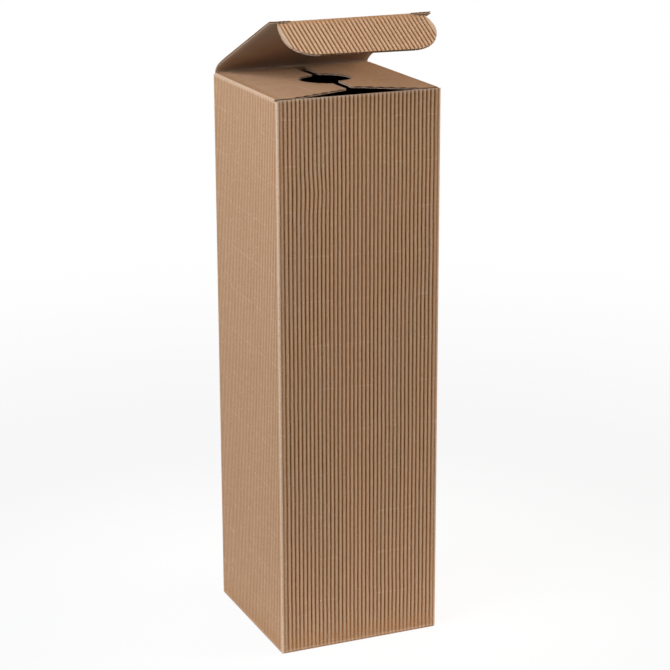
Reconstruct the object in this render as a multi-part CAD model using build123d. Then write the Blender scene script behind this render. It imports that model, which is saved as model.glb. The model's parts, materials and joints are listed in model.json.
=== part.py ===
from build123d import *

import os
from math import radians, sin

os.makedirs("parts", exist_ok=True)

# A tall gift box for one bottle, folded from a single sheet of open flute board: a flat
# kraft liner inside, and the bare wave of the fluting outside. It is glued at one corner,
# locks shut at the bottom, and closes at the top with two dust flaps that grip the
# bottle's neck and a lid with a tuck flap.
# Millimetres, +Z up. The front faces -Y, and the lid is hinged at the back. The origin is
# the centre of the base. The lid stands a little open, as it is stored.

# Folded size, measured over the crests of the flutes
box_width = 97.0
box_depth = 97.0
flap_level = 319.0
front_drop = 0.4

# The board
board = 1.2
flute_pitch = 2.4
flute_depth = 0.6
valley_width = 0.8
crest_rise = 0.055

# A fold presses the flutes flat in a strip on each side of it, and rounds the outside
press_depth = 0.2
press_strip = 1.6
fold_radius = 0.8

# The dust flaps
slot_width = 2.3
dust_back_gap = 1.0
dust_shoulder = 9.5
dust_tip_back = 19.0
dust_back_cut = 4.0
slit_width = 1.8
slit_offset = 1.5
neck_hole = 29.5
neck_hole_back = 3.5

# The lid and its tuck flap
lid_side_gap = 1.4
lid_gap = 0.3
crease_gap = 0.15
lid_open = 24.0
tuck_length = 33.0
tuck_side_gap = 2.6
tuck_corner = 16.0
tuck_gap = 0.3
tuck_bend = 49.0
slit_lock = 12.0
slit_ledge = 1.2

# The strip that is glued inside the right wall, at the back corner
glue_width = 24.0
glue_clear = 14.0
glue_slant = 6.0

# The bottom closes in three layers: the back flap, the two side flaps, and the lock flap
layer_gap = 0.15
corner_gap = 0.8
lock_reach = 52.0
lock_side = 9.0
tongue_width = 40.0
tongue_length = 18.0
tongue_gap = 1.0
side_ramp = 7.0
side_reach = 42.0
side_step = 23.0
back_ramp = 12.0
back_reach = 52.0

# What follows from them
pressed = board - press_depth
knuckle = pressed / 2
reach_past = 3 * board  # how far a cutting block stands out of the board that it cuts
half_width = box_width / 2
half_depth = box_depth / 2
inner_half_width = half_width - board
inner_half_depth = half_depth - board
wall_top = flap_level - board
front_top = flap_level - front_drop
hinge_y = half_depth - press_depth - knuckle
hinge_z = flap_level + lid_gap + knuckle
lid_width = box_width - 2 * lid_side_gap
tuck_width = 2 * inner_half_width - 2 * tuck_side_gap
fold_y = -inner_half_depth + tuck_gap + knuckle + press_depth
lid_length = hinge_y - fold_y


def wave(length):
    """The wave across a side, along X from one end to the other: broad rounded crests with
    their tops at 0, narrow valleys between them, and the pressed ends below the crests."""
    count = int((length - 2 * press_strip) / flute_pitch)
    start = -count * flute_pitch / 2
    end = length / 2 - press_depth - fold_radius
    edges = [
        Line((-end, -press_depth), (start, -press_depth)),
        Line((start, -press_depth), (start, -flute_depth)),
    ]
    for number in range(count):
        middle = start + (number + 0.5) * flute_pitch
        valley = flute_pitch / 2
        shoulder = valley - valley_width / 2
        left = (middle - shoulder, -crest_rise)
        right = (middle + shoulder, -crest_rise)
        edges.append(Line((middle - valley, -flute_depth), left))
        edges.append(ThreePointArc(left, (middle, 0), right))
        edges.append(Line(right, (middle + valley, -flute_depth)))
    edges.append(Line((-start, -flute_depth), (-start, -press_depth)))
    edges.append(Line((-start, -press_depth), (end, -press_depth)))
    return edges


def wall_side(length, half):
    """One side of the box in plan, facing -Y, with the rounded corner at its +X end."""
    corner_x = length / 2 - press_depth - fold_radius
    corner_y = half - press_depth - fold_radius
    middle = fold_radius * sin(radians(45))
    side = [Pos(0, -half) * Rot(X=180) * edge for edge in wave(length)]
    side.append(
        ThreePointArc(
            (corner_x, -corner_y - fold_radius),
            (corner_x + middle, -corner_y - middle),
            (corner_x + fold_radius, -corner_y),
        )
    )
    return side


def wall_section():
    """The four walls cut level: flutes outside, flat liner inside."""
    sides = [
        (box_width, half_depth, 0),
        (box_depth, half_width, 90),
        (box_width, half_depth, 180),
        (box_depth, half_width, 270),
    ]
    edges = []
    for length, half, turn in sides:
        edges += [Rot(Z=turn) * edge for edge in wall_side(length, half)]
    outer = make_face(Wire(edges))
    return outer - Rectangle(2 * inner_half_width, 2 * inner_half_depth)


def fluted_sheet(span, start, end):
    """A flat piece of board whose flutes run along X from start to end, with its crests
    up at z = 0 and its liner below."""
    side = span / 2 - press_depth - fold_radius
    edges = wave(span)
    edges += [
        Line((side, -press_depth), (span / 2, -press_depth)),
        Line((span / 2, -press_depth), (span / 2, -board)),
        Line((span / 2, -board), (-span / 2, -board)),
        Line((-span / 2, -board), (-span / 2, -press_depth)),
        Line((-span / 2, -press_depth), (-side, -press_depth)),
    ]
    profile = Plane.YZ.offset(start) * make_face(Wire(edges))
    return extrude(profile, amount=end - start)


def plain_strip(span, start, end):
    """The same board where a fold has pressed its flutes flat."""
    strip = Box(end - start, span, pressed, align=(Align.MIN, Align.CENTER, Align.MAX))
    return Pos(start, 0, -press_depth) * strip


def outline(points, high=reach_past):
    """A block with this plan, to trim a flap with."""
    block = extrude(make_face(Polyline(*points, close=True)), amount=high + reach_past)
    return Pos(0, 0, -reach_past) * block


def dust_flap(reach):
    """A dust flap, running along +X from the outside of its wall: a shoulder that clears
    the tuck's slot, a slanted front edge, and a clipped back corner. The front is -Y."""
    front = -inner_half_depth + slot_width
    back = inner_half_depth - dust_back_gap
    shape = [
        (0, front),
        (dust_shoulder, front),
        (reach, dust_tip_back - half_depth),
        (reach, back - dust_back_cut),
        (reach - dust_back_cut / 2, back),
        (0, back),
    ]
    sheet = fluted_sheet(box_depth, press_strip, reach)
    fold = plain_strip(box_depth, press_depth, press_strip)
    fold = fillet(fold.edges().filter_by(Axis.Y).group_by(Axis.Z)[-1].sort_by(Axis.X)[0], fold_radius)
    return (sheet + fold) & outline(shape)


def top_closure():
    """Both dust flaps, lying closed, with the round hole for the neck cut through them."""
    left = Pos(-half_width, 0, flap_level) * dust_flap(half_width + slit_offset - slit_width / 2)
    right = mirror(dust_flap(half_width - slit_offset - slit_width / 2), Plane.YZ)
    right = Pos(half_width, 0, flap_level) * right
    hole = Pos(slit_offset, neck_hole_back, flap_level) * Cylinder(neck_hole / 2, reach_past)
    return left - hole, right - hole


def upright_walls():
    """The four walls. The front one is cut nearly level with the dust flaps, and the others
    end at a fold, where a flap or the lid goes on from them."""
    tall = Pos(0, 0, board) * extrude(wall_section(), amount=front_top - board)
    over = Box(2 * box_width, box_depth, reach_past, align=(Align.CENTER, Align.MIN, Align.MIN))
    return tall - Pos(0, -inner_half_depth, wall_top) * over


def glue_strip():
    """The glued strip: it turns in from the back wall and lies on the right wall's liner."""
    low = glue_clear
    high = wall_top - glue_clear
    shape = [
        (inner_half_depth, low),
        (inner_half_depth - glue_width, low + glue_slant),
        (inner_half_depth - glue_width, high - glue_slant),
        (inner_half_depth, high),
    ]
    face = Plane.YZ * make_face(Polyline(*shape, close=True))
    return Pos(inner_half_width - pressed, 0, 0) * extrude(face, amount=pressed)


def base_rim():
    """The folded lower edge all round, pressed flat, with its outer edge broken."""
    plan = RectangleRounded(box_width - 2 * press_depth, box_depth - 2 * press_depth, fold_radius)
    block = extrude(plan, amount=board)
    block = chamfer(block.faces().sort_by(Axis.Z)[0].edges(), fold_radius / 2)
    return block - Box(2 * inner_half_width, 2 * inner_half_depth, reach_past)


def bottom_flap(span, ramp, rise, reach, low, high):
    """A flap of the bottom, running along +X from the inside of its wall with its crests
    down: a pressed ramp up to its own layer, then the sheet. The flutes are cut from low to
    high along its fold, where no other flap hides them."""
    slope = [
        (0, press_depth),
        (ramp, rise + press_depth),
        (ramp, rise + board),
        (0, board),
    ]
    face = Plane.XZ.offset(-span / 2) * make_face(Polyline(*slope, close=True))
    sheet = Pos(0, 0, rise) * Rot(X=180) * plain_strip(span, ramp, reach)
    flutes = Pos(0, (low + high) / 2, rise) * Rot(X=180) * fluted_sheet(high - low, ramp, reach)
    return extrude(face, amount=span) + sheet + flutes


def mitre(half_span, depth):
    """The slanted ends of a flap beside the corners: its half width at the wall, and at a
    depth from the wall."""
    return half_span - corner_gap, half_span - corner_gap - depth


def lock_flap():
    """The outer flap of the bottom. Its tongue climbs over the side flaps into the notch
    of the back flap."""
    rise = 2 * (board + layer_gap)
    wide, narrow = mitre(inner_half_width, lock_side)
    half_tongue = tongue_width / 2
    shape = [
        (0, -wide),
        (lock_side, -narrow),
        (lock_reach - lock_side, -narrow),
        (lock_reach, -half_tongue),
        (lock_reach, half_tongue),
        (lock_reach - lock_side, narrow),
        (lock_side, narrow),
        (0, wide),
    ]
    climb = tongue_length / 2
    slope = [
        (lock_reach, press_depth),
        (lock_reach + climb, rise + press_depth),
        (lock_reach + tongue_length, rise + press_depth),
        (lock_reach + tongue_length, rise + board),
        (lock_reach + climb, rise + board),
        (lock_reach, board),
    ]
    face = Plane.XZ.offset(-half_tongue) * make_face(Polyline(*slope, close=True))
    tongue = extrude(face, amount=tongue_width)
    edge = inner_half_width
    flap = bottom_flap(2 * edge, press_strip, 0, lock_reach, -edge, edge)
    return (flap & outline(shape)) + tongue


def side_flap():
    """A side flap of the bottom, with a long front part and a step that lets the tongue by.
    The front is -Y."""
    rise = board + layer_gap
    wide, narrow = mitre(inner_half_depth, side_ramp)
    step_y = -inner_half_depth + lock_reach - tongue_gap
    shape = [
        (0, -wide),
        (side_ramp, -narrow),
        (side_reach, -narrow / 2),
        (side_reach, step_y),
        (side_step, step_y),
        (side_step, narrow / 2),
        (side_ramp, narrow),
        (0, wide),
    ]
    edge = inner_half_depth
    hidden = lock_reach - lock_side
    flap = bottom_flap(2 * edge, side_ramp, rise, side_reach, hidden - edge, edge)
    return flap & outline(shape)


def back_flap():
    """The inner flap of the bottom, with the notch that holds the tongue."""
    rise = 2 * (board + layer_gap)
    wide, narrow = mitre(inner_half_width, back_ramp)
    notch = 2 * inner_half_depth - lock_reach - tongue_length - tongue_gap
    half_notch = tongue_width / 2 + tongue_gap
    shape = [
        (0, -wide),
        (back_ramp, -narrow),
        (back_reach, -narrow),
        (back_reach, -half_notch),
        (notch, -half_notch),
        (notch, half_notch),
        (back_reach, half_notch),
        (back_reach, narrow),
        (back_ramp, narrow),
        (0, wide),
    ]
    shown = inner_half_width - side_step
    flap = bottom_flap(2 * inner_half_width, back_ramp, rise, back_reach, -shown, shown)
    return flap & outline(shape, high=rise + reach_past)


def bottom_closure():
    """The four flaps of the bottom, locked together."""
    return [
        Pos(0, -inner_half_depth) * Rot(Z=90) * lock_flap(),
        Pos(0, inner_half_depth) * Rot(Z=-90) * back_flap(),
        Pos(-inner_half_width, 0) * side_flap(),
        Pos(inner_half_width, 0) * mirror(side_flap(), Plane.YZ),
    ]


def back_rail():
    """The top of the back wall, pressed by the lid's fold and standing up to meet it."""
    high = hinge_z - knuckle - crease_gap
    rail = Box(lid_width, pressed, high - wall_top, align=(Align.CENTER, Align.MAX, Align.MIN))
    return Pos(0, half_depth - press_depth, wall_top) * rail


def carton():
    """The box itself: walls, glued corner, bottom and dust flaps, all one folded sheet."""
    body = upright_walls() + base_rim() + glue_strip() + back_rail()
    for flap in top_closure():
        body += flap
    for flap in bottom_closure():
        body += flap
    return body


def folded_edge(width):
    """The round edge that a fold leaves, along X."""
    return Rot(Y=90) * Cylinder(knuckle, width)


def lid():
    """The lid, lying closed along -Y from its hinge, with its fold in the middle of the
    front edge and a slit lock's ledge at each end."""
    crest = knuckle + press_depth
    fold_width = lid_width - 2 * slit_lock
    sheet = fluted_sheet(lid_width, press_strip, lid_length - press_strip)
    hinge_strip = plain_strip(lid_width, 0, press_strip)
    fold_strip = plain_strip(fold_width, lid_length - press_strip, lid_length)
    ends = fluted_sheet(lid_width, lid_length - press_strip, lid_length + slit_ledge)
    middle = Box(2 * reach_past, fold_width, 2 * reach_past)
    ends -= Pos(lid_length, 0, 0) * middle
    panel = Rot(Z=-90) * Pos(0, 0, crest) * (sheet + hinge_strip + fold_strip + ends)
    panel += folded_edge(lid_width)
    return panel + Pos(0, -lid_length, 0) * folded_edge(fold_width)


def tuck_flap():
    """The tuck flap, lying straight along -Y from its fold, with rounded free corners. Its
    top edge is cut back at both ends to clear the slit lock."""
    crest = knuckle + press_depth
    start = knuckle + crease_gap
    ledge = slit_ledge + crease_gap
    fold_width = lid_width - 2 * slit_lock - 2 * crease_gap
    sheet = fluted_sheet(tuck_width, press_strip, tuck_length)
    strip = plain_strip(fold_width, start, press_strip)
    shoulder = plain_strip(tuck_width, ledge, press_strip)
    plan = Rectangle(tuck_length, tuck_width, align=(Align.MIN, Align.CENTER))
    plan = fillet(plan.vertices().group_by(Axis.X)[-1], tuck_corner)
    block = Pos(0, 0, -reach_past) * extrude(plan, amount=2 * reach_past)
    flap = (sheet + strip + shoulder) & block
    return Rot(Z=-90) * Pos(0, 0, crest) * flap


lid_place = Pos(0, hinge_y, hinge_z) * Rot(X=-lid_open)
tuck_place = lid_place * Pos(0, -lid_length, 0) * Rot(X=tuck_bend)

export_step(carton(), "parts/carton.step")
export_step(lid_place * lid(), "parts/lid.step")
export_step(tuck_place * tuck_flap(), "parts/tuck_flap.step")

fold_at = lid_place * Pos(0, -lid_length, 0)
print("lid hinge at y %.3f z %.3f" % (hinge_y, hinge_z))
print("tuck fold at y %.3f z %.3f" % (fold_at.position.Y, fold_at.position.Z))
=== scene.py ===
# %% [markdown]
# # A gift box for one bottle, in open flute kraft board
#
# The box is one sheet of board: a flat liner inside, and a waved sheet glued to it outside.
# The sheet is cut by a die, folded round, and closed at the top by two dust flaps and a lid
# with a tuck flap. This script works in the maker's order: flute a flat sheet, cut it, then
# fold it into place. Every length is in metres.

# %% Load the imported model
import json
import math

import bmesh
import bpy
from mathutils import Matrix, Vector, noise


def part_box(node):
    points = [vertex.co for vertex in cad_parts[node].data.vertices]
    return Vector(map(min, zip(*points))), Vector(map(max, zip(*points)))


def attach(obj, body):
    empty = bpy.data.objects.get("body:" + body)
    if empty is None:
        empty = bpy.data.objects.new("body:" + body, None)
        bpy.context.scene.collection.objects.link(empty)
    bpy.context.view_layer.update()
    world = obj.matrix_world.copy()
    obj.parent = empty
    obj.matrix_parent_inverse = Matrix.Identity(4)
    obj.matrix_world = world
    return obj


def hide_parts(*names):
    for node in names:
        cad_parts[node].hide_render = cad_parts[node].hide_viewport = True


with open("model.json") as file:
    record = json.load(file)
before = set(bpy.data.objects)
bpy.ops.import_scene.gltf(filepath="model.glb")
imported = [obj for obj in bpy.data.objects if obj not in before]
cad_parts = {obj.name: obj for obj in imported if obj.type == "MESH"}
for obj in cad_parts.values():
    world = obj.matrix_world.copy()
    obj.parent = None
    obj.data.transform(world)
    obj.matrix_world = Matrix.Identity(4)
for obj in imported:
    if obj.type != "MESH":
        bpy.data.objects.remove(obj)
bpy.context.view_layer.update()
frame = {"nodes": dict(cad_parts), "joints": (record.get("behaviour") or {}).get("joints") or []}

# %% [markdown]
# ## Sizes
#
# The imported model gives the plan, and its two joints give the two fold lines. Only the
# board itself is described here, since a wave of 2.4 mm is the same all over the sheet. The
# wave and the two papers together stay a little thinner than the board, because papers
# that touch would spoil the cutting later on.

# %% The board
mm = 0.001
pitch = 2.4 * mm
board = 1.2 * mm
wave_depth = 0.66 * mm
wave_paper = 0.21 * mm
liner_paper = 0.31 * mm
pressed_down = 0.2 * mm
press_strip = 1.6 * mm
knuckle = 0.5 * mm
steps_a_flute = 8
print("wave and papers:", round((wave_depth + wave_paper + liner_paper) / mm, 2), "of", board / mm, "mm")

# %% The plan and the two folds
joints = {joint["name"]: joint for joint in frame["joints"]}
hinge = Vector(joints["lid_hinge"]["pos_m"])
fold = Vector(joints["tuck_fold"]["pos_m"])
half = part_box("carton")[1].x
lid_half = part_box("lid")[1].x
tuck_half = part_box("tuck_flap")[1].x
lid_gap = 0.3 * mm
front_drop = 0.4 * mm
tuck_bend = math.radians(49)
tuck_length = 31.2 * mm
lid_length = (fold - hinge).length
lid_rise = math.atan2(fold.z - hinge.z, hinge.y - fold.y)
tuck_fall = tuck_bend - lid_rise
flap_level = hinge.z - knuckle - lid_gap
wall_top = flap_level - board
front_top = flap_level - front_drop
print("lid", round(lid_length / mm, 1), "mm long, opened", round(math.degrees(lid_rise), 1), "degrees")

# %% [markdown]
# ## Shader maths
#
# A material reads better as a sum than as a web of nodes. The first class wraps one socket,
# so that an expression on values adds the Math nodes by itself. The paint box adds any
# other node: its settings first, then its sockets.

# %% A value that can be reckoned with
class Value:
    """What a node puts out, which can be added, multiplied and compared."""

    def __init__(self, box, socket):
        self.box = box
        self.socket = socket

    def maths(self, operation, *others):
        values = dict(enumerate((self, *others)))
        return self.box.add("ShaderNodeMath", {"operation": operation}, values)

    def __add__(self, other):
        return self.maths("ADD", other)

    def __sub__(self, other):
        return self.maths("SUBTRACT", other)

    def __rsub__(self, other):
        return self * -1 + other

    def __mul__(self, other):
        return self.maths("MULTIPLY", other)

    def __truediv__(self, other):
        return self.maths("DIVIDE", other)

    def between(self, low, high):
        """0 below low, 1 above high, smooth from one to the other."""
        values = {"Value": self, "From Min": low, "From Max": high}
        return self.box.add("ShaderNodeMapRange", {"interpolation_type": "SMOOTHSTEP"}, values)

    __radd__ = __add__
    __rmul__ = __mul__


# %% The paint box
class PaintBox:
    """The nodes of one material."""

    def __init__(self, tree):
        self.tree = tree
        tree.nodes.clear()

    def add(self, kind, settings=None, values=None, output=0):
        node = self.tree.nodes.new(kind)
        for name, setting in (settings or {}).items():
            setattr(node, name, setting)
        for name, value in (values or {}).items():
            if isinstance(value, Value):
                self.tree.links.new(value.socket, node.inputs[name])
            else:
                node.inputs[name].default_value = value
        return Value(self, node.outputs[output]) if node.outputs else None

    def mix(self, share, one, other):
        """A colour between two colours."""
        return self.add("ShaderNodeMix", {"data_type": "RGBA"}, {0: share, 6: one, 7: other}, output=2)

    def noise(self, vector, scale, detail=2.0, rough=0.5):
        """A cloudy number from 0 to 1."""
        values = {"Vector": vector, "Scale": scale, "Detail": detail, "Roughness": rough}
        return self.add("ShaderNodeTexNoise", {}, values)

    def stretch(self, vector, x, y, z=1.0):
        """The same vector with its three parts multiplied."""
        return self.add("ShaderNodeVectorMath", {"operation": "MULTIPLY"}, {0: vector, 1: (x, y, z)})

    def part(self, vector, number):
        """One of the three parts of a vector."""
        return self.add("ShaderNodeSeparateXYZ", {}, {0: vector}, output=number)


# %% [markdown]
# ## Kraft paper
#
# Kraft is unbleached: long brown fibres, some pale and some dark, in soft clouds a few
# millimetres wide. Every vertex carries its place on the flat sheet and its height on the
# wave, in an attribute called "board". The patterns read that, so they stay with the paper
# when it folds. A second attribute, "rubbed", is 1 on a fold: there the paper is painted
# pale, for its wear and for a painted highlight.

# %% What all the papers share
# The pale fibre colour also paints the folds and edges pale: wear there, with a painted highlight.
pale_fibre = (0.78, 0.60, 0.45, 1)
dark_fibre = (0.20, 0.11, 0.06, 1)
grain = 1900
specks_a_metre = 1100
coarse_relief = 0.06 * mm
fine_relief = 0.03 * mm


def new_material(name):
    """An empty material, its paint box, and a point's place on the flat sheet."""
    material = bpy.data.materials.new(name)
    material.use_nodes = True
    box = PaintBox(material.node_tree)
    place = box.add("ShaderNodeAttribute", {"attribute_name": "board"}, output=1)
    return material, box, place


def rubbed_and_highlit_share(box):
    """How pale a point is painted: the paper's wear, with a painted highlight in the same share."""
    return box.add("ShaderNodeAttribute", {"attribute_name": "rubbed_and_highlit"}, output=2)


def matt_paper(box, colour, relief, depth):
    """Dull paper of this colour, with a relief of this depth in metres."""
    normal = box.add("ShaderNodeBump", {}, {"Strength": 1.0, "Distance": depth, "Height": relief})
    values = {"Base Color": colour, "Roughness": 0.9, "Specular IOR Level": 0.05, "Normal": normal}
    paper = box.add("ShaderNodeBsdfPrincipled", {}, values)
    box.add("ShaderNodeOutputMaterial", {}, {"Surface": paper})


def fibres(box, place, colour):
    """Pale and dark fibres laid over a colour."""
    pale = box.noise(box.stretch(place, 900, 2600), 1.0, detail=3).between(0.58, 0.70)
    dark = box.noise(box.stretch(place, 1300, 700), 1.0, detail=3, rough=0.6).between(0.60, 0.72)
    return box.mix(dark * 0.45, box.mix(pale * 0.40, colour, pale_fibre), dark_fibre)


print("fibres from", dark_fibre[:3], "to", pale_fibre[:3])

# %% [markdown]
# The waved sheet is worn pale on its crests. Along the folds it is worn pale too, and a
# highlight is painted there. Its flanks are a warm brown, partly the paper's own and partly
# painted shade, and its valleys are dark with painted shade, the shade of light that comes
# and goes between brown walls. Its colour follows its height on the wave, and clouds and
# streaks push the borders up and down, so that no two flutes look alike. Faint lines run
# across it where the fluting machine's fingers held the paper.

# %% The outside of the board
crest_colour = (0.580, 0.410, 0.276, 1)
# The flank colour is the paper's warmer brown with painted half shade in it; the valley colour is painted
# shade.
flank_brown_and_shade = (0.390, 0.185, 0.072, 1)
valley_painted_shade = (0.130, 0.042, 0.012, 1)
cloud_colour = (0.40, 0.245, 0.145, 1)
finger_gap = 25.3 * mm
finger_slant = 1.5
finger_start = 0.39
finger_width = 0.011


def finger_lines(box, across, along, place):
    """Faint broken lines across the flutes, one to each gap between the fingers."""
    line = (along / finger_gap + across * finger_slant + finger_start).maths("PINGPONG", 0.5)
    dashes = box.noise(box.stretch(place, 160, 8), 1.0).between(0.46, 0.60)
    return (0.5 - line).maths("LESS_THAN", finger_width) * dashes


def waved_kraft():
    """The waved paper, from its dark valleys to its rubbed crests."""
    material, box, place = new_material("waved_kraft")
    height = box.part(place, 2)
    rubbed_and_highlit = rubbed_and_highlit_share(box)
    clouds = box.noise(place, 110, detail=5, rough=0.65)
    streaks = box.noise(box.stretch(place, 420, 26), 1.0, detail=3, rough=0.6)
    blots = box.noise(box.stretch(place, 330, 210), 1.0, detail=4, rough=0.7).between(0.42, 0.68)
    # The colour darkens with depth on the wave: painted shade between the flutes, broken up by clouds and
    # streaks.
    level = height + (clouds - 0.5) * 0.25 + (streaks - 0.5) * 0.2
    colour = box.mix(level.between(0.0, 0.6), valley_painted_shade, flank_brown_and_shade)
    colour = box.mix(level.between(0.55, 1.05), colour, crest_colour)
    colour = box.mix(blots * 0.22, colour, cloud_colour)
    finger = finger_lines(box, box.part(place, 0), box.part(place, 1), place) * height.between(0.45, 0.9)
    specks = box.noise(place, specks_a_metre, detail=3).between(0.30, 0.55)
    # Pale on the finger lines, and on folds and edges, where it is wear with a painted highlight.
    colour = box.mix(finger * 0.45 + rubbed_and_highlit * specks * 0.75, colour, pale_fibre)
    relief = box.noise(place, grain, detail=4, rough=0.7)
    matt_paper(box, fibres(box, place, colour), relief, coarse_relief)
    return material


# %% [markdown]
# The liner is the flat paper inside: smoother, a little darker, and painted pale only where
# it is folded, for wear and a painted highlight. The die leaves a raw edge of short pale
# fibres with dark gaps between them, and the pale fibres are bright enough to paint a
# highlight along the edge too.

# %% The inside of the board and its cut edge
liner_dark = (0.40, 0.265, 0.180, 1)
liner_pale = (0.52, 0.365, 0.252, 1)
cut_dark = (0.17, 0.09, 0.05, 1)
# The cut edge's pale is the fibres' own colour brightened into a painted highlight.
cut_pale_and_highlight = (0.86, 0.67, 0.52, 1)


def liner_kraft():
    """The flat inside of the board."""
    material, box, place = new_material("liner_kraft")
    clouds = box.noise(place, 60, detail=4, rough=0.6)
    colour = box.mix(clouds, liner_dark, liner_pale)
    # Pale where folded: wear, with a painted highlight.
    colour = box.mix(rubbed_and_highlit_share(box) * 0.6, colour, pale_fibre)
    relief = box.noise(place, grain, detail=3, rough=0.6)
    matt_paper(box, fibres(box, place, colour), relief, fine_relief)
    return material


def cut_kraft():
    """The raw edge that the die leaves, its pale fibres with a painted highlight in them."""
    material, box, place = new_material("cut_kraft")
    fuzz = box.noise(place, specks_a_metre, detail=3, rough=0.7)
    matt_paper(box, box.mix(fuzz.between(0.42, 0.54), cut_dark, cut_pale_and_highlight), fuzz, coarse_relief)
    return material


papers = [waved_kraft(), liner_kraft(), cut_kraft()]
WAVED, LINER, CUT = range(3)
print("materials:", [paper.name for paper in papers])

# %% [markdown]
# ## A flat sheet of fluted board
#
# The wave could be drawn as a curve and swept, but a grid is simpler: its columns stand an
# eighth of a flute apart, and each vertex is let down by the height of the wave there. A
# power of a sine draws broad crests and narrow valleys, as thick paper has outside when it
# is bent in a wave.

# %% Columns and the wave
crest_power = 0.75


def spread(low, high, step):
    """Places from low to high, at most a step apart."""
    count = max(1, math.ceil((high - low) / step - 1e-6))
    return [low + (high - low) * number / count for number in range(count + 1)]


def flute_columns(width, end):
    """Places across a sheet that ends this far from its middle: eight to a flute, then a
    plain margin at each side. The width of the whole panel says how many flutes fit."""
    count = int((width - 2 * press_strip) / pitch)
    edge = count * pitch / 2
    flutes = spread(-edge, edge, pitch / steps_a_flute)
    margin = spread(edge, end, pitch / steps_a_flute)[1:]
    return [-place for place in reversed(margin)] + flutes + margin, edge


def wave_share(across, edge):
    """How high the wave stands: 0 in a valley, 1 on a crest and on the plain margin."""
    if abs(across) >= edge:
        return 1.0
    return abs(math.sin(math.pi * (across - edge) / pitch)) ** crest_power


print("a wall has", round(2 * flute_columns(2 * half, half)[1] / pitch), "whole flutes")

# %% [markdown]
# Beside a fold the die has crushed the wave, and no flute is quite straight. Seeded noise
# gives the straying, so every run draws the same board.

# %% Crushed and straying flutes
slow_stray = 0.18 * mm
quick_stray = 0.07 * mm
crush_run = 6 * mm
crush_least = 0.25


def wander(across, along):
    """How far a flute strays sideways."""
    slow = noise.noise(Vector((across * 22, along * 38, 4)))
    quick = noise.noise(Vector((across * 70, along * 160, 9)))
    return slow_stray * slow + quick_stray * quick


def crush(distance):
    """How much of the wave is left at a distance from a fold."""
    share = min(max(distance / crush_run, 0), 1)
    return crush_least + (1 - crush_least) * share * share * (3 - 2 * share)


print("the wave left at a fold and 3 mm away:", crush(0), round(crush(3 * mm), 2))

# %% [markdown]
# Each paper is a grid that solidify gives its thickness. Solidify leaves a rim all round,
# and those faces get the raw edge's material: they look along the sheet, or sideways at
# one of its two ends. The faces are gathered in a dictionary and not in a set, because a
# set's order would change from run to run.

# %% Sheets of paper
facing = 0.8
at_end = 0.01 * mm
liner_step = 4 * mm


def sheet_grid(bm, across, along):
    """A flat grid with its columns and rows at these places. Gives back its vertices."""
    wide = len(across) - 1
    long = len(along) - 1
    place = Matrix.Translation((wide / 2, long / 2, 0)) @ Matrix.Diagonal((wide, long, 1, 1))
    made = bmesh.ops.create_grid(bm, x_segments=wide, y_segments=long, size=0.5, matrix=place)
    for vert in made["verts"]:
        vert.co = (across[round(vert.co.x)], along[round(vert.co.y)], 0)
    return made["verts"]


def thicken(bm, verts, thickness, paper):
    """Makes the faces of these vertices into paper of this thickness. Its rims are raw."""
    ends = {min(vert.co.x for vert in verts), max(vert.co.x for vert in verts)}
    faces = list(dict.fromkeys(face for vert in verts for face in vert.link_faces))
    made = bmesh.ops.solidify(bm, geom=faces, thickness=thickness)
    faces += [part for part in made["geom"] if isinstance(part, bmesh.types.BMFace)]
    for face in faces:
        face.normal_update()
        middle = face.calc_center_median().x
        side = abs(face.normal.x) > facing and min(abs(middle - end) for end in ends) < at_end
        face.material_index = CUT if side or abs(face.normal.y) > facing else paper


def wave_sheet(bm, across, along, shape):
    """Adds the waved paper. The shape tells, for a place, the share of the wave's height,
    what is left of it, and how far it strays."""
    verts = sheet_grid(bm, across, along)
    for vert in verts:
        share, left, stray = shape(vert.co.x, vert.co.y)
        vert.co.z = -wave_depth * left * (1 - share) - pressed_down * (1 - left)
        vert.co.x += stray
    thicken(bm, verts, wave_paper, WAVED)


def liner_sheet(bm, across, along):
    """Adds the flat paper under the wave."""
    verts = sheet_grid(bm, across, along)
    for vert in verts:
        vert.co.z = liner_paper - board
    thicken(bm, verts, liner_paper, LINER)


# %% The two papers together
def fluted_board(width, end, along, left):
    """A flat sheet with its flutes along Y and its crests at z = 0. What is left of the
    wave depends on the place along it."""
    bm = bmesh.new()
    columns, edge = flute_columns(width, end)

    def shape(x, y):
        stray = wander(x, y) if abs(x) < edge else 0
        return wave_share(x, edge), left(y), stray

    wave_sheet(bm, columns, along, shape)
    liner_sheet(bm, spread(-end, end, liner_step), along)
    print("a sheet with", len(columns), "columns and", len(along), "rows")
    return bm


# %% [markdown]
# ## Cutting
#
# The die is a prism with the plan of the flap. A Boolean cuts the sheet with it while the
# sheet is flat, because flat work is easy to cut. The faces that the die makes take its
# material, so they come out as raw edges.

# %% The die
def to_object(bm, name):
    """An object from a bmesh, with the three papers as its materials."""
    mesh = bpy.data.meshes.new(name)
    bm.to_mesh(mesh)
    bm.free()
    made = bpy.data.objects.new(name, mesh)
    bpy.context.scene.collection.objects.link(made)
    for paper in papers:
        mesh.materials.append(paper)
    return made


def die(outline):
    """A prism with this plan, taller than the board is thick."""
    bm = bmesh.new()
    face = bm.faces.new([bm.verts.new((x, y, -4 * board)) for x, y in outline])
    made = bmesh.ops.extrude_face_region(bm, geom=[face])
    raised = [part for part in made["geom"] if isinstance(part, bmesh.types.BMVert)]
    bmesh.ops.translate(bm, verts=raised, vec=(0, 0, 8 * board))
    bmesh.ops.recalc_face_normals(bm, faces=bm.faces)
    for part in bm.faces:
        part.material_index = CUT
    return to_object(bm, "die")


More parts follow.
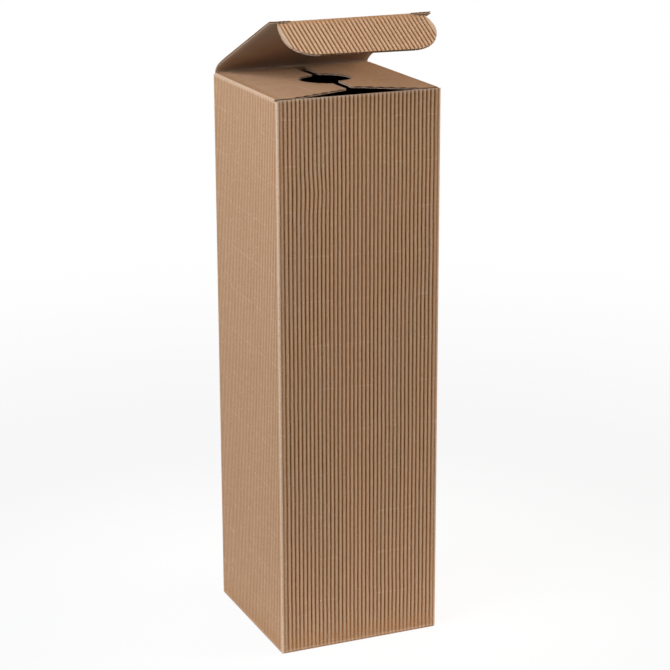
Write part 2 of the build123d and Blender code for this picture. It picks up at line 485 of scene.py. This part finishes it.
def arc(x, y, radius, start, end, count):
    """Points on an arc round a centre, from one angle to another in degrees."""
    turns = [math.radians(start + (end - start) * step / count) for step in range(count + 1)]
    return [(x + radius * math.cos(turn), y + radius * math.sin(turn)) for turn in turns]


def cut(bm, outline, operation="INTERSECT"):
    """What is left of a sheet inside the outline, or outside it with DIFFERENCE."""
    sheet = to_object(bm, "sheet")
    tool = die(outline)
    stamp = sheet.modifiers.new("die", "BOOLEAN")
    stamp.object = tool
    stamp.operation = operation
    stamp.solver = "EXACT"
    graph = bpy.context.evaluated_depsgraph_get()
    done = bmesh.new()
    done.from_mesh(bpy.data.meshes.new_from_object(sheet.evaluated_get(graph)))
    bpy.data.objects.remove(sheet)
    bpy.data.objects.remove(tool)
    print("cut with", len(outline), "corners, which leaves", len(done.faces), "faces")
    return done


# %% [markdown]
# ## Folding
#
# Each vertex first notes its place on the flat sheet, and only then moves to its place in
# space. The patterns of the papers read the note, so they fold with the board. Every piece
# rides on the body that carries it, so that the lid and the tuck flap can turn.

# %% From a flat sheet to a finished piece
sharp_turn = math.radians(45)


def no_wear_and_highlight(across, along):
    return 0.0


def folded_piece(bm, name, place, body, wear_and_highlight=no_wear_and_highlight):
    """Notes every vertex's place on the flat sheet, moves it to its place in space, and
    makes the piece."""
    board_layer = bm.verts.layers.float_vector.new("board")
    wear_and_highlight_layer = bm.verts.layers.float.new("rubbed_and_highlit")
    for vert in bm.verts:
        across, along, height = vert.co
        vert[board_layer] = (across, along, min(max(1 + height / wave_depth, 0), 1))
        # The second layer paints folds and edges pale: wear, with a painted highlight.
        vert[wear_and_highlight_layer] = wear_and_highlight(across, along)
        vert.co = place(across, along, height)
    bmesh.ops.recalc_face_normals(bm, faces=bm.faces)
    piece = to_object(bm, name)
    piece.data.polygons.foreach_set("use_smooth", [True] * len(piece.data.polygons))
    piece.data.set_sharp_from_angle(angle=sharp_turn)
    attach(piece, body)
    print(name, "has", sum(len(polygon.vertices) - 2 for polygon in piece.data.polygons), "triangles")
    return piece


# %% [markdown]
# ## The four walls
#
# The walls are one strip wrapped round the plan. Its columns run round the outside: a side,
# then the corner after it, where the fold has pressed the nearest flutes flat.

# %% Round the corners
inner_round = 0.05 * mm
corner_round = board + inner_round
side_end = half - corner_round
corner_run = corner_round * math.pi / 2
turn_length = 2 * side_end + corner_run
panel, wall_edge = flute_columns(2 * half, side_end)
corner = spread(side_end, side_end + corner_run, corner_run / 6)


def on_side(across):
    """The side that a place belongs to, and its distance from that side's middle."""
    side = math.floor((across + side_end) / turn_length + 1e-6)
    return side, across - side * turn_length


def wrap(across, height):
    """The plan point of a place round the box, at a height over the crests."""
    side, from_middle = on_side(across)
    turn = max(from_middle - side_end, 0) / corner_round
    reach = Vector((min(from_middle, side_end), -side_end, 0))
    reach += Vector((math.sin(turn), -math.cos(turn), 0)) * (corner_round + height)
    return Matrix.Rotation(side * math.pi / 2, 3, "Z") @ reach


print("once round the box is", round(4 * turn_length / mm, 1), "mm")

# %% [markdown]
# The front is a piece by itself, since it is seen closest and gets the most rows. It was
# bent by a hand near its top left, and its flutes still show that. At the foot the waved
# paper is turned in a little. At the foot, along the top and on the corners it is painted
# pale: the paper's wear there, with a painted highlight.

# %% The walls
bend_most = 0.7 * mm
bend_at = (-26 * mm, 266 * mm)
bend_size = (11 * mm, 9 * mm)
rim = 4 * mm
foot_round = 0.45 * mm
foot_run = 0.7 * mm
foot_step = 0.7 * mm
top_step = 0.8 * mm
wear_and_highlight_run = 1.2 * mm
foot_wear_and_highlight_run = 1.0 * mm


def hand_bend(x, z):
    """A bend in the front's flutes, strongest in the middle of it."""
    across = (x - bend_at[0]) / bend_size[0]
    up = (z - bend_at[1]) / bend_size[1]
    return bend_most * math.exp(-(up ** 2) - across ** 2)


def walls(name, first, sides, top, step):
    """A run of walls, from the first side round, up to a height."""
    rows = spread(0, rim, foot_step) + spread(rim, top - rim, step)[1:]
    rows += spread(top - rim, top, top_step)[1:]
    starts = [side * turn_length for side in range(sides)]

    def all_round(places):
        """The same places on every side, with a corner after each."""
        return [-side_end] + [start + place for start in starts for place in places[1:] + corner[1:]]

    def shape(across, along):
        side, from_middle = on_side(across)
        inside = abs(from_middle) < wall_edge
        stray = wander(from_middle + first + side, along) if inside else 0
        stray += hand_bend(from_middle, along) if inside and first + side == 0 else 0
        left = crush(min(side_end + 1.4 * mm - abs(from_middle), 0.25 * along + 1.5 * mm))
        return wave_share(from_middle, wall_edge), left, stray

    def place(across, along, height):
        turned_in = foot_round * max(0, 1 - along / foot_run) ** 2
        point = Matrix.Rotation(first * math.pi / 2, 3, "Z") @ wrap(across, height - turned_in)
        return Vector((point.x, point.y, along))

    # Pale at the corners, the foot and the top: wear, with a painted highlight.
    def wear_and_highlight(across, along):
        corner_wear_and_highlight = min(max(abs(on_side(across)[1]) - side_end + 0.8 * mm, 0) / wear_and_highlight_run, 1)
        foot_wear_and_highlight = 0.7 - abs(along - 1.4 * mm) / foot_wear_and_highlight_run
        return max(corner_wear_and_highlight, foot_wear_and_highlight, 1 - (top - along) / wear_and_highlight_run)

    bm = bmesh.new()
    wave_sheet(bm, all_round(panel), rows, shape)
    liner_sheet(bm, all_round(spread(-side_end, side_end, 10 * mm)), rows)
    return folded_piece(bm, name, place, "carton", wear_and_highlight)


front_wall = walls("front_wall", 0, 1, front_top, 6 * mm)
other_walls = walls("side_and_back_walls", 1, 3, wall_top, 9 * mm)
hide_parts("carton")
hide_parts("carton")

# %% [markdown]
# Behind the dust flaps the back wall goes on up to the lid's fold. The fold has pressed it
# flat, and it is only as wide as the lid.

# %% The back wall's top
rail_step = 0.7 * mm


def rail_left(along):
    """The whole rail is as flat as the board is on a fold."""
    return crush(0)


def rail_place(across, along, height):
    return Vector((-across, half + height, along))


sheet = fluted_board(2 * lid_half, lid_half, spread(wall_top, hinge.z, rail_step), rail_left)
folded_piece(sheet, "back_rail", rail_place, "carton")

# %% [markdown]
# ## The dust flaps
#
# Each dust flap is folded over from the top of a side wall. Its flutes run on from the
# wall's, over the fold and across the top. A slit is left between the two flaps, and each
# has half of the round hole for the neck.

# %% Over the fold
slot = 2.3 * mm
flap_back = half - board - 1.0 * mm
flap_front = -(half - board) + slot
slit = 3.0 * mm
slit_x = 1.5 * mm
hole_radius = 14.75 * mm
hole_back = 3.5 * mm
shoulder = 9.5 * mm
tip_back = 19 * mm
fold_round = 1.15 * mm
fold_run = fold_round * math.pi / 4
fold_gain = fold_round - fold_run


def over_fold(along, height):
    """A place that runs up the wall, round the fold and in over the top: how far in from
    the wall's crests it is, and how far up from the flap's crests."""
    if along < -fold_run:
        return -height, along - fold_gain
    if along > fold_run:
        return along + fold_gain, height
    turn = (along + fold_run) / fold_round
    reach = fold_round + height
    return fold_round - reach * math.cos(turn), reach * math.sin(turn) - fold_round


print("the paper takes", round(2 * fold_run / mm, 2), "mm round the fold")

# %% [markdown]
# The right flap was folded last, so it lies a little higher, and its free edge is warped.
# The back corners are clipped, the right one more, and a lift is less at the back, where
# the closed lid comes down first.

# %% The two flaps
flap_rim = 3 * mm
flap_fold_step = 0.45 * mm
flap_step = 2.5 * mm
warp = 0.12 * mm
warp_turns = 260
flap_wear_and_highlight_run = 1.0 * mm


def flap_left(along):
    """What the fold leaves of the flap's wave."""
    return crush(abs(along) - 0.3 * mm)


def dust_flap(name, reach, side, lift, hole_along, clip):
    """A dust flap on the left side (-1) or the right side (1) of the box."""
    low = fold_gain - board
    rows = spread(low, flap_rim, flap_fold_step) + spread(flap_rim, reach + 2 * mm, flap_step)[1:]
    sheet = fluted_board(2 * half, side_end, rows, flap_left)
    end = reach - fold_gain
    outline = [
        (flap_front * side, low - mm),
        (flap_front * side, shoulder),
        ((tip_back - half) * side, end),
        ((flap_back - 2 * clip) * side, end - 0.3 * clip),
        (flap_back * side, end - clip),
        (flap_back * side, low - mm),
    ]
    sheet = cut(sheet, outline)
    hole = arc(hole_back * side, hole_along - fold_gain, hole_radius, 0, 360, 64)[:-1]
    sheet = cut(sheet, hole, "DIFFERENCE")

    def place(across, along, height):
        inwards, up = over_fold(along, height)
        share = max(along / reach, 0)
        tilt = 0.65 - 0.35 * across * side / half
        rise = lift * share * share * tilt + warp * math.sin(across * warp_turns) * share ** 6
        return Vector((side * (half - inwards), across * side, flap_level + up + rise))

    # Pale along the fold and the free edge: wear, with a painted highlight.
    def wear_and_highlight(across, along):
        return max(0, 1.2 - abs(along) / wear_and_highlight_run, 0.8 - (end - along) / flap_wear_and_highlight_run)

    return folded_piece(sheet, name, place, "carton", wear_and_highlight)


dust_flap("left_dust_flap", half + slit_x - slit / 2, -1, -0.3 * mm, half + slit_x, 2 * mm)
dust_flap("right_dust_flap", half - slit_x - slit / 2, 1, 1.4 * mm, half - slit_x, 4.5 * mm)

# %% [markdown]
# ## The lid
#
# The lid's flutes run from the hinge to the front. Both ends of its front edge stick out as
# ledges, which catch the slits of the tuck flap. A fold is a round crushed edge on the line
# of its joint, so it turns with no gap.

# %% The flat lid
ledge = 1.2 * mm
slit_lock = 12 * mm
inner = lid_half - slit_lock
panel_rim = 5 * mm
panel_rim_step = 0.7 * mm
lid_step = 4 * mm
spare = mm


def fold_roll(bm, width, along):
    """The round edge of a fold, along X, on the line of its joint. Its outside is waved
    paper and its inside is liner."""
    turn = Matrix.Translation((0, along, -pressed_down - knuckle)) @ Matrix.Rotation(math.pi / 2, 4, "Y")
    size = {"radius1": knuckle, "radius2": knuckle, "depth": width, "segments": 24}
    made = bmesh.ops.create_cone(bm, cap_ends=True, matrix=turn, **size)
    for face in {face for vert in made["verts"] for face in vert.link_faces}:
        face.normal_update()
        face.material_index = LINER if face.normal.z < 0.3 else WAVED


def lid_left(along):
    """What the folds at both its ends leave of the lid's wave."""
    return min(crush(along), crush(lid_length - along))


rows = spread(0, panel_rim, panel_rim_step) + spread(panel_rim, lid_length - panel_rim, lid_step)[1:]
rows += spread(lid_length - panel_rim, lid_length + ledge, panel_rim_step)[1:]
sheet = fluted_board(2 * lid_half, lid_half, rows, lid_left)
outline = [
    (-lid_half - spare, 0),
    (lid_half + spare, 0),
    (lid_half + spare, lid_length + ledge + spare),
    (inner, lid_length + ledge + spare),
    (inner, lid_length),
    (-inner, lid_length),
    (-inner, lid_length + ledge + spare),
    (-lid_half - spare, lid_length + ledge + spare),
]
sheet = cut(sheet, outline)
fold_roll(sheet, 2 * lid_half, 0)
fold_roll(sheet, 2 * inner, lid_length)

# %% [markdown]
# The lid bows, because the crease holds it back, and it stands a little askew. The crease,
# both sides and the tips of the ledges are painted pale: the paper's wear there, with a
# painted highlight.

# %% The lid as it stands open
bow = 2.2 * mm
bow_run = 5 * mm
askew = 1.2 * mm
ledge_curl = 0.1 * mm
curl_run = 5 * mm


def lid_place(across, along, height):
    """From the flat lid to the lid as it stands open."""
    raised = 0
    if 0 < along < lid_length:
        raised = bow * (1 - math.exp(-along / bow_run)) * (1 - along / lid_length)
    outer = min(max(abs(across) - inner, 0) / curl_run, 1)
    curl = ledge_curl * outer * max(0, 1 - (lid_length + ledge - along) / curl_run) ** 2
    up = height + pressed_down + knuckle + raised + curl
    y = hinge.y - along * math.cos(lid_rise) + up * math.sin(lid_rise)
    z = hinge.z + along * math.sin(lid_rise) + up * math.cos(lid_rise)
    return Vector((across - askew * along / lid_length, y, z))


def lid_wear_and_highlight(across, along):
    """Worn pale along the crease, at both sides and at the tips of the ledges, with a painted highlight
    there.
    """
    crease = 1.3 - abs(along) / (0.8 * mm)
    sides = 1 - (lid_half - abs(across)) / (1.0 * mm)
    tips = 0.8 - (lid_length + ledge - along) / (1.6 * mm)
    return max(0, crease, sides, tips)


lid = folded_piece(sheet, "lid_panel", lid_place, "lid", lid_wear_and_highlight)
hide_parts("lid")

# %% [markdown]
# ## The tuck flap
#
# The tuck flap hangs from the lid's front fold. Its free corners are cut round, the right
# one more than the left, so that it finds its way in behind the front wall. Its top corners
# are cut back below the ledges, where they would catch.

# %% The flat tuck flap
left_corner = 15 * mm
right_corner = 20 * mm
shoulder_gap = 0.15 * mm
shoulder_inset = 2 * mm
left_drop = 0.6 * mm
right_drop = 1.6 * mm
flare_end = 7 * mm
flare_inset = 0.6 * mm
tuck_step = 2.8 * mm
rows = spread(0, panel_rim, panel_rim_step) + spread(panel_rim, tuck_length, tuck_step)[1:]
sheet = fluted_board(2 * tuck_half, tuck_half, rows, crush)
middle = inner - shoulder_gap
below = ledge + shoulder_gap
inset = tuck_half - shoulder_inset
outline = [(-middle, 0), (middle, 0), (middle, below)]
outline += [(inset, below + right_drop), (tuck_half - flare_inset, flare_end)]
outline += arc(tuck_half - right_corner, tuck_length - right_corner, right_corner, 0, 90, 14)
outline += arc(left_corner - tuck_half, tuck_length - left_corner, left_corner, 90, 180, 12)
outline += [(flare_inset - tuck_half, flare_end), (-inset, below + left_drop), (-middle, below)]
sheet = cut(sheet, outline)

# %% [markdown]
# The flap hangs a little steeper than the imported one, and it is twisted: its right side
# hangs steepest. Both start at the fold and are full a few millimetres below it, so that
# the fold itself stays on the line of its joint.

# %% The tuck flap as it hangs
tuck_more = 2
tuck_twist = 1.5
tuck_run = 8 * mm


def tuck_place(across, along, height):
    """From the flat tuck flap to the flap as it hangs."""
    up = height + pressed_down + knuckle
    more = math.radians(tuck_more + tuck_twist * across / tuck_half)
    fall = tuck_fall + more * min(max(along, 0) / tuck_run, 1)
    y = fold.y - along * math.cos(fall) - up * math.sin(fall)
    z = fold.z - along * math.sin(fall) + up * math.cos(fall)
    return Vector((across - askew, y, z))


tuck = folded_piece(sheet, "tuck_panel", tuck_place, "tuck_flap")
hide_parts("tuck_flap")

# %% [markdown]
# ## The bottom and the glued strip
#
# The bottom's four flaps and the glued strip are seen only from below and from inside.
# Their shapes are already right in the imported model, so this piece is a copy of that mesh,
# merged first, then cut back to what lies inside the walls and under the dust flaps.

# %% The bottom flaps
merge_gap = 1e-6
under_flaps = 5 * mm
liner_height = 0.8
inside = half - board
bm = bmesh.new()
bm.from_mesh(frame["nodes"]["carton"].data)
bmesh.ops.remove_doubles(bm, verts=bm.verts, dist=merge_gap)
sides = [((0, 0, wall_top - under_flaps), (0, 0, 1))]
sides += [((x * inside, y * inside, 0), (x, y, 0)) for x, y in ((1, 0), (-1, 0), (0, 1), (0, -1))]
for point, normal in sides:
    geom = bm.verts[:] + bm.edges[:] + bm.faces[:]
    bmesh.ops.bisect_plane(bm, geom=geom, plane_co=point, plane_no=normal, clear_outer=True, dist=merge_gap)
    bmesh.ops.holes_fill(bm, edges=[edge for edge in bm.edges if edge.is_boundary], sides=0)
layer = bm.verts.layers.float_vector.new("board")
for vert in bm.verts:
    vert[layer] = (vert.co.x, vert.co.y, liner_height)
bottom = to_object(bm, "bottom_flaps")
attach(bottom, "carton")
print("bottom_flaps has", len(bottom.data.polygons), "faces")

# %% [markdown]
# ## The floor
#
# To the camera the floor is a plain white glow, and near the box a tenth of it is matt
# paint, which keeps the box's shadow. To the lamps it is all paint: pale near the box,
# where it throws some light back up, and darker further off, so that the box isn't lit flat
# from below.

# %% A white floor
near_paint = (0.95, 0.95, 0.95, 1)
far_paint = (0.25, 0.25, 0.25, 1)
floor_drop = 0.2 * mm
floor_reach = 8


def white_floor():
    material = bpy.data.materials.new("white_floor")
    material.use_nodes = True
    box = PaintBox(material.node_tree)
    point = box.add("ShaderNodeTexCoord", output=3)
    far = box.add("ShaderNodeVectorMath", {"operation": "LENGTH"}, {0: point}, output=1)
    share = box.add("ShaderNodeLightPath") * (far.between(0.25, 0.9) * 0.1 + 0.9)
    paint = box.mix(far.between(0.06, 0.35), near_paint, far_paint)
    values = {"Base Color": paint, "Roughness": 1.0, "Specular IOR Level": 0.0}
    matt = box.add("ShaderNodeBsdfPrincipled", {}, values)
    glow = box.add("ShaderNodeEmission", {}, {"Color": (1, 1, 1, 1), "Strength": 1.0})
    both = box.add("ShaderNodeMixShader", {}, {0: share, 1: matt, 2: glow})
    box.add("ShaderNodeOutputMaterial", {}, {"Surface": both})
    return material


bm = bmesh.new()
level = Matrix.Translation((0, 0, -floor_drop))
bmesh.ops.create_grid(bm, x_segments=1, y_segments=1, size=floor_reach, matrix=level)
floor = to_object(bm, "floor")
floor.data.materials.clear()
floor.data.materials.append(white_floor())
print("the floor is", 2 * floor_reach, "m wide")

# %% [markdown]
# ## Light
#
# Five soft square lamps stand round the box. The key on the left is a little cool and
# lights the left wall fully, so that the front lies in half shade. A weak one in front and
# a warm one on the right fill the front, and the warm one draws its flutes. A low one on
# the right reaches in under the lid, and the last lights the back. The white room shows to
# the camera at full strength and adds hardly any light.

# %% Five lamps and a white room
aim_at = Vector((0, 0, 0.22))
room_light = 0.04


def lamp(name, at, size, watts, colour=(1, 1, 1)):
    """A square soft lamp that shines at the upper part of the box."""
    data = bpy.data.lights.new(name, "AREA")
    data.size = size
    data.energy = watts
    data.color = colour
    made = bpy.data.objects.new(name, data)
    made.location = at
    made.rotation_euler = (aim_at - Vector(at)).to_track_quat("-Z", "Y").to_euler()
    bpy.context.scene.collection.objects.link(made)
    print("lamp", name, "of", watts, "W")


lamp("key", (-0.80, -0.20, 0.70), 0.65, 9.7, (0.96, 1, 1.07))
lamp("front", (-0.12, -0.50, 0.85), 0.6, 1.35)
lamp("side", (0.80, -0.30, 0.75), 0.6, 5.2, (1, 0.83, 0.67))
lamp("low", (0.85, -0.16, 0.42), 0.4, 3.8)
lamp("back", (0.35, 0.90, 0.60), 0.7, 4.0)

world = bpy.data.worlds.new("white_room")
bpy.context.scene.world = world
world.use_nodes = True
box = PaintBox(world.node_tree)
strength = box.add("ShaderNodeLightPath") * (1 - room_light) + room_light
room = box.add("ShaderNodeBackground", {}, {"Color": (1, 1, 1, 1), "Strength": strength})
box.add("ShaderNodeOutputWorld", {}, {"Surface": room})

# %% [markdown]
# ## Camera
#
# The photograph was taken from the left, a little above the lid, from well over a metre
# away. The three turns and the lens make the box's corners fall where they do in it.

# %% The camera
camera_turn = -23.17
camera_pitch = 16.69
camera_roll = -0.18
camera = bpy.data.objects.new("camera", bpy.data.cameras.new("camera"))
camera.location = (-0.4569, -1.0807, 0.5226)
turns = ((camera_turn, "Z"), (90 - camera_pitch, "X"), (camera_roll, "Z"))
aim = Matrix.Identity(3)
for degrees, axis in turns:
    aim = aim @ Matrix.Rotation(math.radians(degrees), 3, axis)
camera.rotation_euler = aim.to_euler()
camera.data.lens = 114.4
camera.data.sensor_width = 36
bpy.context.scene.collection.objects.link(camera)
bpy.context.scene.camera = camera
bpy.context.scene.view_settings.view_transform = "Standard"
print("camera", round(camera.location.length, 2), "m from the box's foot, lens", camera.data.lens, "mm")
